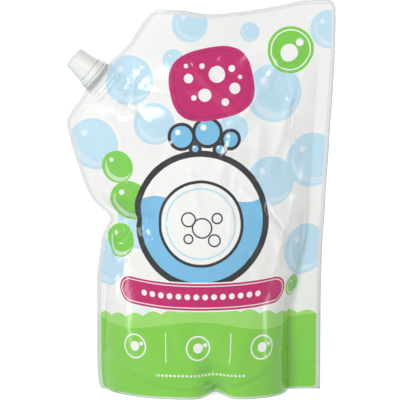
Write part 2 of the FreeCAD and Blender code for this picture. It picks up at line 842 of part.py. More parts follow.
# Check every object, then write one file for each part

for item in doc.Objects:
    if "Invalid" in item.State or "Error" in item.State:
        raise RuntimeError(f"{item.Label} did not build: {item.State}")

os.makedirs("parts", exist_ok=True)
for part in (pouch, spout, tamper_band, cap, sealing_disc):
    if part.Shape.isNull() or not part.Shape.isValid():
        raise RuntimeError(f"{part.Label} has no valid shape")
    part.Shape.exportStep(f"parts/{part.Label}.step")
    print(part.Label, round(part.Shape.Volume / 1000, 3), "cm3")
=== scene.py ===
import bpy
import json
import math
import numpy as np
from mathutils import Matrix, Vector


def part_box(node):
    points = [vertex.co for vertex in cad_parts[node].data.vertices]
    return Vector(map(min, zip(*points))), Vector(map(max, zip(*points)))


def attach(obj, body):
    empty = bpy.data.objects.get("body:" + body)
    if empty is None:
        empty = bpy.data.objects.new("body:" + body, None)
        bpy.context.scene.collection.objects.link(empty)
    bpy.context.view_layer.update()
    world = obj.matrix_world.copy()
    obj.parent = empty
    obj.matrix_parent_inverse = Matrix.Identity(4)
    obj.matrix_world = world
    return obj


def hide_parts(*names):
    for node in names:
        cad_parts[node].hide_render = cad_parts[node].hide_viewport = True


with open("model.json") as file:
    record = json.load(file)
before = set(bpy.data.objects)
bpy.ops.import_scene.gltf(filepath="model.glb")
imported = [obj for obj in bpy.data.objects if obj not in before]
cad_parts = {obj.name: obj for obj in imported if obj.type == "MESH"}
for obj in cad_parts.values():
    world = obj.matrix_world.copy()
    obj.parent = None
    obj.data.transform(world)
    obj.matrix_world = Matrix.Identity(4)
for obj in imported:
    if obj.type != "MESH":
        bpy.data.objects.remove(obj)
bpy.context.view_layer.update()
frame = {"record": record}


# Outline of the pouch film
# The pack is two printed laminate panels and a bottom gusset, welded together along their edges.
# Its edges are stations (height, across) in millimetres, followed as smooth lines.

MM = 0.001
pouch_low, pouch_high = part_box("pouch")
POUCH_HEIGHT = pouch_high.z / MM
POUCH_WIDTH = (pouch_high.x - pouch_low.x) / MM
POUCH_DEPTH = (pouch_high.y - pouch_low.y) / MM

LEFT_EDGE = [
    (0, -73.3), (4.1, -75.5), (18, -76.5), (85, -76.5), (92.7, -75.5), (103.9, -74.1), (114.3, -72.8),
    (121.7, -69.5), (127.7, -65.8), (132.2, -68.6), (135.9, -73), (141.5, -78.6), (148.6, -82.8),
    (157.2, -86.3), (166.4, -89.2), (176.4, -92.6), (186.4, -95.5), (194.9, -97.5), (201.2, -98.3),
    (208.5, -94.2), (216.3, -88.2), (223, -84.6), (242.4, -68), (249.7, -59.9), (257.6, -52.1),
    (266, -46.6), (274.4, -41.6), (280.3, -35.7), (282.9, -30.6), (290, -30.6),
]
RIGHT_EDGE = [
    (0, 88.3), (67, 88.4), (97, 89), (113.6, 89.7), (129, 90.8), (151.5, 91.9), (171, 93.3), (201, 95),
    (223.8, 96.6), (246, 97.7), (268.4, 98.2), (290, 98.1),
]
TOP_EDGE = [
    (-30.6, 282.9), (-13, 282.2), (-0.5, 280), (5.4, 279.2), (15.6, 279.4), (28.8, 280.7), (43.5, 282.6),
    (61.8, 285.9), (70.6, 288.3), (89, 289.6), (98.2, 289.5),
]
HALF_DEPTH = [
    (0, 1.0), (30, 0.95), (60, 0.85), (100, 0.7), (140, 0.57), (180, 0.435), (210, 0.325), (240, 0.195),
    (260, 0.095), (272, 0.022), (279, 0), (290, 0),
]
TOP_CORNER_X = 98.1
TOP_CORNER_RADIUS = 6.0
TOP_SEAL = 11.0
SIDE_SEAL = 12.0
SPOUT_SIDE_SEAL = 8.0
CREASE_OFFSET = 12.0
FILM_WALL = 0.24
NOTCH_X = 11.2
NOTCH_DEPTH = 15.0
NOTCH_LIFT = 3.0
SPOUT_FOOT_Z = 233.4


def follow(stations, place, blur=7.0):
    """Reads a table of stations as a smooth line: straight joins, averaged over a window of width blur."""
    marks, values = np.array(stations, float).T
    fine = np.arange(marks[0] - 20, marks[-1] + 20, 0.25)
    line = np.interp(fine, marks, values)
    window = np.hanning(max(3, int(blur / 0.25)))
    padded = np.pad(line, len(window), mode="edge")
    soft = np.convolve(padded, window / window.sum(), mode="same")[len(window) : -len(window)]
    return np.interp(place, fine, soft)


def ease(low, high, place):
    """Rises from 0 at low to 1 at high as 3 t squared minus 2 t cubed."""
    share = np.clip((place - low) / (high - low), 0, 1)
    return share * share * (3 - 2 * share)


def mound(distance, width):
    """A bell: e to the minus square of distance over width."""
    return np.exp(-((distance / width) ** 2))


def left_edge(z):
    return follow(LEFT_EDGE, z, 5.0)


def right_edge(z):
    return follow(RIGHT_EDGE, z)


def top_edge(x):
    """The top edge, with a quarter circle at the corner away from the spout."""
    flat = follow(TOP_EDGE, x)
    past = np.clip(x - (TOP_CORNER_X - TOP_CORNER_RADIUS), 0, TOP_CORNER_RADIUS)
    return flat - TOP_CORNER_RADIUS + np.sqrt(TOP_CORNER_RADIUS**2 - past**2)


def belly_ends(z):
    """Inner ends of the side seals, with the upright crease that runs inside the lower right seal."""
    left_seal = SPOUT_SIDE_SEAL * (0.5 + 0.5 * ease(0, 120, z) + 0.3 * ease(190, 215, z))
    crease = CREASE_OFFSET * (1 - ease(55, 120, z))
    return left_edge(z) + left_seal, right_edge(z) - SIDE_SEAL - crease


# Where the spout leaves the slanted edge
joint = [j for j in frame["record"]["behaviour"]["joints"] if j["name"] == "cap_turn"][0]
SPOUT_FOOT = np.array(joint["pos_m"]) / MM
SPOUT_AXIS = np.array(joint["axis"])
SPOUT_ACROSS = np.array([SPOUT_AXIS[2], 0.0, -SPOUT_AXIS[0]])


def spout_frame(x, z):
    """Distance into the pouch from the foot of the spout, and distance across its axis."""
    dx, dz = x - SPOUT_FOOT[0], z - SPOUT_FOOT[2]
    inward = -(dx * SPOUT_AXIS[0] + dz * SPOUT_AXIS[2])
    across = dx * SPOUT_ACROSS[0] + dz * SPOUT_ACROSS[2]
    return inward, across


def belly_share(x, z):
    """Fullness from 0 at the seals to 1 in the middle: a full oval at the foot and a flat lens at the top."""
    left, right = belly_ends(z)
    s = np.clip((2 * x - left - right) / (right - left), -1, 1)
    low_left = (1 - np.abs(s) ** 2.4) ** 0.68
    low_right = (1 - s**4) ** 0.5
    low = np.where(s < 0, low_left, low_right)
    high = (1 - s * s) ** 0.95
    return low + (high - low) * ease(30, 170, z)


# The weld base under the film: a lens with four ribs, which the film shows as raised bars
WELD_WIDTH = 26.0
WELD_THICKNESS = 13.0
WELD_LENGTH = 16.0
WELD_TIP = 1.2
WELD_RIB_PITCH = 2.9
WELD_RIB_RISE = 0.8
WELD_RIB_THICKNESS = 1.3
WELD_RIB_FIRST = 3.2
WELD_RIBS = [WELD_RIB_FIRST + WELD_RIB_PITCH * i for i in range(4)]
WELD_RIB_SPREAD = 0.9
WELD_RIB_ENDS = (11.5, 14.5)
WELD_SKIRT_RISE = 5.2
WELD_SKIRT_REACH = 18.5
WELD_SKIRT_START = (2, 13)
WELD_FALL = 3.1


def lens_height(across, width, thickness):
    """Half thickness of a lens of two circular arcs at a distance across it, and zero outside it."""
    rise = (thickness - WELD_TIP) / 2
    radius = (width**2 / 4 + rise**2) / (2 * rise)
    arc = np.sqrt(np.maximum(radius**2 - across**2, 0)) - (radius - rise) + WELD_TIP / 2
    return np.where(np.abs(across) < width / 2, arc, 0.0)


def drape_over_spout(x, z):
    """Half thickness that the weld base gives the film, with a fall beyond its inner end."""
    inward, across = spout_frame(x, z)
    lens = lens_height(across, WELD_WIDTH - 2 * WELD_RIB_RISE, WELD_THICKNESS - 2 * WELD_RIB_RISE)
    skirt = WELD_SKIRT_RISE * np.clip(1 - (across / WELD_SKIRT_REACH) ** 2, 0, 1) ** 1.5
    skirt = skirt * ease(*WELD_SKIRT_START, inward)
    body = np.maximum(lens, skirt) * (1 - ease(WELD_LENGTH, WELD_FALL * WELD_LENGTH, inward))
    ribs = sum(mound(inward - level, WELD_RIB_SPREAD) for level in WELD_RIBS)
    ribs = ribs * (1 - ease(*WELD_RIB_ENDS, np.abs(across)))
    return body + WELD_RIB_RISE * ribs * (body > 0.1)


# The belly takes a little less than half the depth of the solid, which leaves room for the rise of the folds
BELLY_SHARE = 0.4915
BELLY_BLUR = 12.0
TOP_SEAL_LEVEL = 279.0


def half_thickness(x, z):
    """Half thickness of the filled pack: belly and weld base joined as the cube root of a sum of cubes."""
    top_seal = top_edge(x) - TOP_SEAL
    level = z / np.maximum(top_seal, 1.0) * TOP_SEAL_LEVEL
    belly = BELLY_SHARE * POUCH_DEPTH * follow(HALF_DEPTH, level, BELLY_BLUR) * belly_share(x, z)
    drape = drape_over_spout(x, z)
    return FILM_WALL + np.cbrt(belly**3 + drape**3)


# Folds of the film
# Laminate film takes long straight folds and short dents where the pack is bent, pressed or hung from its
# seals. Each is (start, end, width, rise at start, rise at end, sharpness) in millimetres; sharp ones are creases.

FRONT_FOLDS = [
    ((-49.7, 254), (-48.6, 196), 2.6, 2.6, 0.9, 0.8),
    ((-53.5, 250), (-52.4, 204), 2.4, -1.3, -0.5, 0.5),
    ((-62, 240), (-34, 268), 2.4, 1.6, 0.6, 0.8),
    ((-47, 246), (-30, 266), 2.2, 1.5, 0.8, 0.8),
    ((-62, 215), (-30, 192), 3.4, 2.0, 0.5, 0.6),
    ((-54, 226), (-20, 221), 3.2, 2.0, 0.5, 0.6),
    ((-66, 206), (-50, 168), 4.0, 1.8, 0.4, 0.5),
    ((84, 260), (66, 216), 3.4, 2.6, 2.0, 0.7),
    ((66, 216), (50, 162), 4.4, 2.4, 0.7, 0.5),
    ((76, 252), (67, 208), 2.8, -2.0, -1.0, 0.6),
    ((88, 266), (84, 150), 2.6, 1.4, 0.6, 0.7),
    ((57, 244), (30, 204), 4.0, 2.2, 0.9, 0.5),
    ((44, 264), (18, 238), 4.4, -1.8, -0.6, 0.3),
    ((-24, 262), (30, 204), 4.2, 1.8, 1.2, 0.5),
    ((-6, 264), (34, 224), 3.6, -1.4, -0.6, 0.5),
    ((24, 200), (12, 150), 4.6, 1.4, 0.4, 0.4),
    ((44, 196), (36, 140), 4.0, 1.5, 0.5, 0.5),
    ((-66, 125), (-36, 132), 3.6, -5.6, -1.0, 0.6),
    ((-63.2, 123.6), (-57, 113), 2.0, -3.0, -1.2, 0.7),
    ((-67, 118), (-69, 76), 2.4, -2.6, -1.0, 0.7),
    ((-62.5, 114), (-63, 66), 3.0, 1.8, 0.8, 0.7),
    ((-74, 142), (-42, 147), 5.0, 2.8, 0.8, 0.3),
    ((-64, 117), (-46, 92), 4.6, 1.9, 0.4, 0.4),
    ((-92, 197), (-72, 164), 4.6, -2.6, -0.8, 0.6),
    ((-82, 182), (-60, 146), 3.8, 2.2, 1.0, 0.6),
    ((-95, 190), (-80, 152), 3.0, 1.8, 0.8, 0.6),
    ((8, 20), (3, 46), 7.0, -3.6, -0.8, 0.3),
    ((-4, 22), (-28, 74), 7.0, 1.6, 0.5, 0.2),
    ((24, 22), (40, 66), 7.0, 1.6, 0.5, 0.2),
    ((66, 4), (67, 66), 3.0, -1.8, -1.0, 0.6),
    ((71, 58), (76, 136), 2.8, -1.4, -0.8, 0.6),
    ((60, 112), (40, 152), 5.0, 2.0, 0.6, 0.4),
    ((54, 92), (66, 140), 3.6, 1.3, 0.5, 0.5),
]
BACK_FOLDS = [
    ((-40, 258), (-30, 206), 5.0, 1.6, 0.6, 0.4),
    ((-54, 240), (-20, 232), 5.0, 1.4, 0.4, 0.4),
    ((78, 256), (48, 196), 6.0, 1.9, 0.8, 0.4),
    ((66, 250), (20, 214), 6.0, 1.4, 0.5, 0.2),
    ((-66, 124), (-36, 120), 5.0, -3.6, -0.6, 0.5),
    ((-80, 180), (-56, 148), 5.0, 1.5, 0.5, 0.4),
    ((10, 24), (14, 70), 8.0, -1.6, -0.5, 0.1),
    ((60, 110), (38, 146), 7.0, -1.4, -0.6, 0.3),
    ((-40, 40), (-20, 90), 9.0, 1.1, 0.3, 0.0),
]


def fold_rise(folds, x, z):
    """Sum of folds. Each falls off from its line as a bell, or as e to the minus distance where it is sharp."""
    total = np.zeros_like(x)
    for (x0, z0), (x1, z1), width, rise0, rise1, sharp in folds:
        run = np.array([x1 - x0, z1 - z0], float)
        share = ((x - x0) * run[0] + (z - z0) * run[1]) / (run @ run)
        near = np.clip(share, 0, 1)
        gap = np.hypot(x - x0 - near * run[0], z - z0 - near * run[1])
        past = np.abs(share - near) * np.hypot(*run)
        fall = (1 - sharp) * mound(gap, width) + sharp * np.exp(-np.hypot(gap, 0.5) / (0.6 * width))
        total += (rise0 + (rise1 - rise0) * near) * fall * np.exp(-past / width)
    return total


def random_creases(seed, count):
    """Short straight creases at chance places of the upper film, most of them leaning a little from upright."""
    dice = np.random.default_rng(seed)
    creases = []
    for _ in range(count):
        x, z = dice.uniform(-80, 84), dice.uniform(70, 265)
        lean = dice.normal(0.15, 0.55)
        length = dice.uniform(16, 58)
        dx, dz = 0.5 * length * np.sin(lean), 0.5 * length * np.cos(lean)
        size = dice.uniform(0.4, 1.15) * dice.choice([-1, 1, 1])
        width = dice.uniform(1.6, 4.2)
        creases.append(((x - dx, z - dz), (x + dx, z + dz), width, 0.4 * size, size, dice.uniform(0.1, 0.8)))
    return creases


FRONT_FOLDS += random_creases(17, 44)
BACK_FOLDS += random_creases(29, 30)


def pucker(x, z, seed):
    """Short ripples that run in from the side seals and die out over the belly, of mixed lengths."""
    left, right = belly_ends(z)
    dice = np.random.default_rng(seed)
    total = np.zeros_like(x)
    for gap, reach in ((x - left, 17.0), (right - x, 20.0)):
        wave = np.zeros_like(x)
        for length in (34.0, 23.0, 15.5, 11.0):
            start, lean = dice.uniform(0, 6.28), dice.uniform(-0.5, 0.5)
            wave += length / 34.0 * np.sin(2 * np.pi * (z + lean * gap) / length + start)
        inside = np.clip(gap, 0, None)
        total += 0.34 * wave * (inside / 5.0) * np.exp(1 - inside / 5.0) * np.exp(-inside / reach)
    return total


def slack(x, z, seed):
    """Soft unevenness of slack film: waves in many directions, stronger toward the top."""
    dice = np.random.default_rng(seed)
    total = np.zeros_like(x)
    for _ in range(14):
        length = dice.uniform(18, 60)
        turn = dice.uniform(0, np.pi)
        start = dice.uniform(0, 6.28)
        total += length / 60 * np.sin(2 * np.pi * (x * np.cos(turn) + z * np.sin(turn)) / length + start)
    return total * (0.08 + 0.27 * ease(90, 230, z))


def gusset_seal(x, z):
    """Height of the curved weld between panel and gusset: low in the middle and high at the corners."""
    left, right = belly_ends(np.zeros_like(x))
    s = np.clip(np.abs((2 * x - left - right) / (right - left)), 0, 1)
    return 7 + 26 * s**2.6


TOP_SWAY = 3.2
SWAY_LENGTH = 26


def middle_wave(x, z):
    """Sway of the seals toward the back and front, growing toward the top edge."""
    high = ease(190, 290, z)
    away = 1 - mound(spout_frame(x, z)[1], WELD_WIDTH) * ease(0, 60, SPOUT_FOOT_Z + 60 - z)
    return TOP_SWAY * high * np.sin((x - 20) / SWAY_LENGTH) * ease(-62, -20, x) * away


def loose(x, z):
    """1 where the film is free to fold, and 0 where it is welded tight over the base of the spout."""
    inward, across = spout_frame(x, z)
    return 1 - (1 - ease(11, 17, np.abs(across))) * (1 - ease(16, 26, inward))


def front_y(x, z):
    """Depth of the front panel: the belly, its folds and ripples, and the notch pushed in at the foot."""
    belly = half_thickness(x, z)
    room = ease(0.3, 6, belly) * loose(x, z)
    detail = fold_rise(FRONT_FOLDS, x, z) + pucker(x, z, 3) + slack(x, z, 11)
    welded = 1.3 * (1 - ease(-1.0, 2.0, z - gusset_seal(x, z)))
    notch = NOTCH_DEPTH * mound(x - NOTCH_X, 9.4) * mound(z, 17)
    return middle_wave(x, z) - belly - (detail - welded) * room + notch


def back_y(x, z):
    """Depth of the back panel, which has its own folds and no notch."""
    belly = half_thickness(x, z)
    detail = fold_rise(BACK_FOLDS, x, z) + pucker(x, z, 5) + slack(x, z, 23)
    welded = 0.8 * (1 - ease(-1.5, 3.0, z - gusset_seal(x, z)))
    return middle_wave(x, z) + belly + (detail - welded) * ease(0.3, 6, belly) * loose(x, z)


# Front and back panels
# Each is one sheet of laminate 0.24 mm thick, cut to the outline and laid on the shape above.
# A grid follows the outline: columns run up the seals and the belly, rows run from the foot to the top edge.


def spread(count, density):
    """Places from 0 to 1 that crowd together where the density function is high."""
    fine = np.linspace(0, 1, 4001)
    total = np.cumsum(density(fine))
    total = (total - total[0]) / (total[-1] - total[0])
    return np.interp(np.linspace(0, 1, count + 1), total, fine)


def belly_density(share):
    return 1 + 0.5 / np.sqrt(share * (1 - share) + 0.004) + 2.0 * mound(share - 0.08, 0.12)


def row_density(share):
    z = share * POUCH_HEIGHT
    return 1 + 2.0 * ease(200, 208, z) * (1 - ease(246, 256, z)) + mound(z - 126, 14) + mound(z, 10)


def panel_grid(depth_at, belly_columns, rows):
    """Points and flat-film places of a panel, as arrays with one row for each height."""
    belly = spread(belly_columns, belly_density)
    v = spread(rows, row_density)[:, None]
    left_top, right_top = TOP_EDGE[0][1], TOP_EDGE[-1][1] - TOP_CORNER_RADIUS
    z_left, z_right = v * left_top, v * right_top
    outer_left, outer_right = left_edge(z_left), right_edge(z_right)
    inner_left, inner_right = belly_ends(z_left)[0], belly_ends(z_right)[1]
    seal = np.linspace(0, 1, 9)[None, :]
    x = np.concatenate(
        [
            outer_left + (inner_left - outer_left) * seal[:, :-1],
            inner_left + (inner_right - inner_left) * belly[None, :],
            inner_right + (outer_right - inner_right) * seal[:, 1:],
        ],
        axis=1,
    )
    tops = top_edge(x[-1])[None, :]
    tops[:, 0] = left_top
    z = v * tops
    y = depth_at(x, z)
    step = np.hypot(np.diff(x, axis=1), np.diff(y, axis=1))
    along = np.concatenate([np.zeros_like(x[:, :1]), np.cumsum(step, axis=1)], axis=1)
    middle = np.array([np.interp(0.0, row_x, row_s) for row_x, row_s in zip(x, along)])
    flat_x = along - middle[:, None]
    slope = np.where(z_left > 205, 0.76, 1.0)
    margin = np.minimum((x - outer_left) * slope, outer_right - x)
    margin = np.minimum(margin, tops - z)
    margin = np.minimum(margin, z + 1.6)
    return x, y, z, flat_x, margin


def grid_mesh(name, points, flip, uv=None, values=None, wrap=False):
    """A mesh over a grid of points (rows, columns, 3), with a UV map and a number at each point."""
    rows, columns = points.shape[:2]
    index = np.arange(rows * columns).reshape(rows, columns)
    if wrap:
        index = np.concatenate([index, index[:, :1]], axis=1)
    a, b = index[:-1, :-1].ravel(), index[:-1, 1:].ravel()
    c, d = index[1:, 1:].ravel(), index[1:, :-1].ravel()
    quads = np.stack([a, d, c, b] if flip else [a, b, c, d], axis=1)
    mesh = bpy.data.meshes.new(name)
    mesh.vertices.add(rows * columns)
    mesh.vertices.foreach_set("co", (points.reshape(-1, 3) * MM).ravel())
    mesh.loops.add(quads.size)
    mesh.loops.foreach_set("vertex_index", quads.ravel())
    mesh.polygons.add(len(quads))
    mesh.polygons.foreach_set("loop_start", np.arange(0, quads.size, 4))
    mesh.polygons.foreach_set("loop_total", np.full(len(quads), 4))
    mesh.polygons.foreach_set("use_smooth", np.ones(len(quads), bool))
    mesh.update(calc_edges=True)
    if uv is not None:
        layer = mesh.uv_layers.new(name="film")
        layer.data.foreach_set("uv", uv.reshape(-1, 2)[quads.ravel()].ravel())
    for label, numbers in (values or {}).items():
        attribute = mesh.attributes.new(label, "FLOAT", "POINT")
        attribute.data.foreach_set("value", numbers.ravel().astype(np.float32))
    mesh.validate()
    piece = bpy.data.objects.new(name, mesh)
    bpy.context.scene.collection.objects.link(piece)
    return piece


# The sheet of flat film that the print is laid out on, and the height of the skirt's rim above the floor
FLAT_SPAN = 240.0
FLAT_RISE = 300.0
FLOOR_GAP = 0.25


def film_panel(name, depth_at, flip, belly_columns, rows):
    x, y, z, flat_x, margin = panel_grid(depth_at, belly_columns, rows)
    lift = NOTCH_LIFT * mound(x - NOTCH_X, 7.0) * mound(z, 8) if not flip else 0.0
    clear_of_floor = FLOOR_GAP * (1 - ease(0, 8, z))
    points = np.stack([x, y, z + lift + clear_of_floor], axis=2)
    uv = np.stack([flat_x / FLAT_SPAN + 0.5, z / FLAT_RISE], axis=2)
    panel = grid_mesh(name, points, flip, uv, {"margin": margin})
    wall = panel.modifiers.new("film_wall", "SOLIDIFY")
    wall.thickness = FILM_WALL * MM
    wall.offset = -1
    return panel


front_panel = film_panel("front_panel", front_y, False, 190, 226)
back_panel = film_panel("back_panel", back_y, True, 140, 170)


# Bottom gusset
# A third sheet of the same laminate, folded up inside the foot of the pack and welded to both skirts.
# It lies against the skirt up to the curved seal and then sags down to the floor under the filled soap.


SHEET_GAP = 0.03
FAR_FROM_EDGE = 9.0


def gusset_film(columns, wall_rows, floor_rows):
    """A sheet up the front skirt, over the sagging floor and down the back skirt, as one grid."""
    side = spread(columns, belly_density) * 2 - 1
    side = (side * 0.999)[None, :]
    low_left, low_right = belly_ends(np.zeros(1))
    x = (low_left + low_right) / 2 + side * (low_right - low_left) / 2
    seal_z = gusset_seal(x, np.zeros_like(x))
    lie = 2 * FILM_WALL + SHEET_GAP
    up = np.linspace(0.0, 1.0, wall_rows + 1)[:, None] * seal_z
    wide = np.broadcast_to(x, up.shape)
    lifted = NOTCH_LIFT * mound(wide - NOTCH_X, 7.0) * mound(up, 8)
    front_wall = np.stack([wide, front_y(wide, up) + lie, up + lifted], axis=2)
    back_wall = np.stack([wide, back_y(wide, up) - lie, up], axis=2)[::-1]
    along = np.linspace(0, 1, floor_rows + 2)[1:-1, None]
    y = front_wall[-1, :, 1] + (back_wall[0, :, 1] - front_wall[-1, :, 1]) * along
    edge = np.abs(2 * along - 1) ** 5
    floor_z = (seal_z - 3) * np.abs(side) ** 7
    lifted = 6 * mound(x - NOTCH_X, 13) * mound(y + 29, 17)
    z = floor_z + (seal_z - floor_z) * edge + lifted * (1 - edge)
    wide = np.broadcast_to(x, z.shape)
    floor = np.stack([wide, y, np.maximum(z, 0.05)], axis=2)
    points = np.concatenate([front_wall, floor, back_wall])
    run = np.cumsum(np.hypot(np.diff(points[:, :, 1], axis=0), np.diff(points[:, :, 2], axis=0)), axis=0)
    run = np.concatenate([np.zeros_like(run[:1]), run])
    uv = np.stack([points[:, :, 0] / FLAT_SPAN + 0.5, run / FLAT_RISE], axis=2)
    margin = np.full(run.shape, FAR_FROM_EDGE)
    film = grid_mesh("gusset_film", points, True, uv, {"margin": margin})
    wall = film.modifiers.new("film_wall", "SOLIDIFY")
    wall.thickness = FILM_WALL * MM
    wall.offset = -1
    return film


gusset = gusset_film(90, 16, 44)


# Printed film material
# White laminate printed in flat inks: pale blue bubbles, a magenta sponge, a round plate in soapy water, a magenta
# ribbon and a green foot with white rings. A band with no white ink, milky and clear, runs round the cut edge.


def srgb(red, green, blue):
    """A display colour of 0 to 255 as the linear colour that shaders use."""
    share = np.array([red, green, blue]) / 255
    linear = np.where(share <= 0.04045, share / 12.92, ((share + 0.055) / 1.055) ** 2.4)
    return (*linear.tolist(), 1.0)


class Number:
    """A shader socket that holds a number, so that shader maths reads as plain expressions."""

    def __init__(self, paint, socket):
        self.paint = paint
        self.socket = socket

    def __add__(self, other):
        return self.paint.maths("ADD", self, other)

    def __sub__(self, other):
        return self.paint.maths("SUBTRACT", self, other)

    def __rsub__(self, other):
        return self.paint.maths("SUBTRACT", other, self)

    def __mul__(self, other):
        return self.paint.maths("MULTIPLY", self, other)

    def __truediv__(self, other):
        return self.paint.maths("DIVIDE", self, other)

    def __rtruediv__(self, other):
        return self.paint.maths("DIVIDE", other, self)

    def __pow__(self, other):
        return self.paint.maths("POWER", self, other)

    __radd__ = __add__
    __rmul__ = __mul__


class Paint:
    """One material: its Principled shader with plain settings, and the nodes that feed it."""

    def __init__(self, name, **settings):
        self.material = bpy.data.materials.new(name)
        self.material.use_nodes = True
        self.tree = self.material.node_tree
        self.shader = self.tree.nodes["Principled BSDF"]
        for label, value in settings.items():
            self.shader.inputs[label.replace("_", " ")].default_value = value

    def node(self, kind, settings, sockets):
        """Adds a node, sets its settings first and then fills its sockets by name or place."""
        node = self.tree.nodes.new(kind)
        for label, value in settings.items():
            setattr(node, label, value)
        for place, value in sockets.items():
            if isinstance(value, Number):
                value = value.socket
            if isinstance(value, bpy.types.NodeSocket):
                self.tree.links.new(value, node.inputs[place])
            else:
                node.inputs[place].default_value = value
        return node

    def maths(self, kind, first, second=0.0, third=0.0, clamp=False):
        settings = {"operation": kind, "use_clamp": clamp}
        node = self.node("ShaderNodeMath", settings, {0: first, 1: second, 2: third})
        return Number(self, node.outputs[0])

    def mix(self, share, below, above):
        """Colour below, covered by colour above where share is 1."""
        node = self.node("ShaderNodeMix", {"data_type": "RGBA"}, {0: share, 6: below, 7: above})
        return node.outputs[2]

    def feed(self, label, value):
        socket = value.socket if isinstance(value, Number) else value
        self.tree.links.new(socket, self.shader.inputs[label])

    def noise(self, scale, detail, stretch=(1, 1, 1)):
        """Soft random number about 0.5 over the object's own coordinates, in waves per metre."""
        place = self.tree.nodes.new("ShaderNodeTexCoord").outputs["Object"]
        place = self.node("ShaderNodeMapping", {}, {"Vector": place, "Scale": stretch}).outputs[0]
        node = self.node("ShaderNodeTexNoise", {}, {"Vector": place, "Scale": scale, "Detail": detail})
        return Number(self, node.outputs["Fac"])

    def bump(self, height, distance, strength=1.0):
        """Tilts the surface by a height of 0 to 1 over a distance in metres."""
        sockets = {"Height": height, "Distance": distance, "Strength": strength}
        tilted = self.node("ShaderNodeBump", {}, sockets).outputs[0]
        self.tree.links.new(tilted, self.shader.inputs["Normal"])


class Sheet(Paint):
    """Printed film: a Paint with places on the flat film in millimetres and shapes drawn there."""

    def __init__(self, name, **settings):
        super().__init__(name, **settings)
        uv = self.node("ShaderNodeUVMap", {"uv_map": "film"}, {}).outputs[0]
        flat = {"operation": "MULTIPLY_ADD"}
        scale = {0: uv, 1: (FLAT_SPAN, FLAT_RISE, 0), 2: (-FLAT_SPAN / 2, 0, 0)}
        self.place = self.node("ShaderNodeVectorMath", flat, scale).outputs[0]
        parts = self.node("ShaderNodeSeparateXYZ", {}, {0: self.place})
        self.across = Number(self, parts.outputs[0])
        self.up = Number(self, parts.outputs[1])
        self.ink = WHITE_INK

    def cover(self, depth, edge=0.22):
        """1 where depth (millimetres inside a shape) is positive, with an edge of that width."""
        return self.maths("MULTIPLY_ADD", depth, 1 / edge, 0.5, clamp=True)

    def from_middle(self, middle):
        """Distance from a point of the film."""
        node = self.node("ShaderNodeVectorMath", {"operation": "DISTANCE"}, {0: self.place, 1: (*middle, 0)})
        return Number(self, node.outputs["Value"])

    def disc(self, middle, radius):
        return self.cover(radius - self.from_middle(middle))

    def ring(self, middle, radius, width):
        return self.cover(width / 2 - self.maths("ABSOLUTE", self.from_middle(middle) - radius))

    def within(self, number, low, high):
        """1 between low and high."""
        return self.cover((high - low) / 2 - self.maths("ABSOLUTE", number - (low + high) / 2))

    def print(self, mask, colour, share=1.0):
        """Prints a colour over what is there."""
        self.ink = self.mix(mask if share == 1.0 else mask * share, self.ink, colour)

    def print_bubble(self, middle, radius, colour, glint):
        """A flat bubble with a paler inner crescent and a small glint."""
        x, z = middle
        self.print(self.disc(middle, radius), colour)
        inner = self.disc((x + 0.05 * radius, z - 0.05 * radius), 0.84 * radius)
        hollow = self.disc((x + 0.16 * radius, z + 0.18 * radius), 0.84 * radius)
        self.print(inner * (1 - hollow), glint, 0.5)
        self.print(self.disc((x - 0.36 * radius, z + 0.42 * radius), 0.13 * radius), glint)


WHITE_INK = srgb(245, 246, 243)
CLEAR_EDGE = srgb(226, 230, 230)
PALE_BLUE = srgb(194, 228, 245)
PALER_BLUE = srgb(226, 243, 250)
WATER_BLUE = srgb(124, 194, 234)
MAGENTA = srgb(198, 18, 106)
DEEP_MAGENTA = srgb(160, 14, 86)
CHARCOAL = srgb(34, 35, 38)
GRASS_GREEN = srgb(132, 211, 68)
FRESH_GREEN = srgb(160, 224, 108)
BRIGHT_GREEN = srgb(124, 208, 72)
WHITE = srgb(250, 251, 248)

# Bubbles of the front as (across, up, radius)
BIG_BUBBLES = [
    (-53, 231, 18), (-80, 184, 19), (-8, 272, 13), (54, 222, 21), (94, 268, 14), (84, 172, 20), (-34, 200, 15),
    (52, 158, 18), (24, 196, 11), (-46, 128, 20), (-76, 96, 17), (82, 106, 19), (-20, 246, 8), (36, 266, 7),
]
GREEN_BUBBLES = [(-62, 168, 12), (-54, 143, 15), (-63, 113, 12), (74, 80, 8)]
FOOT_RINGS = [(-50, 38), (-2, 38), (46, 38)]


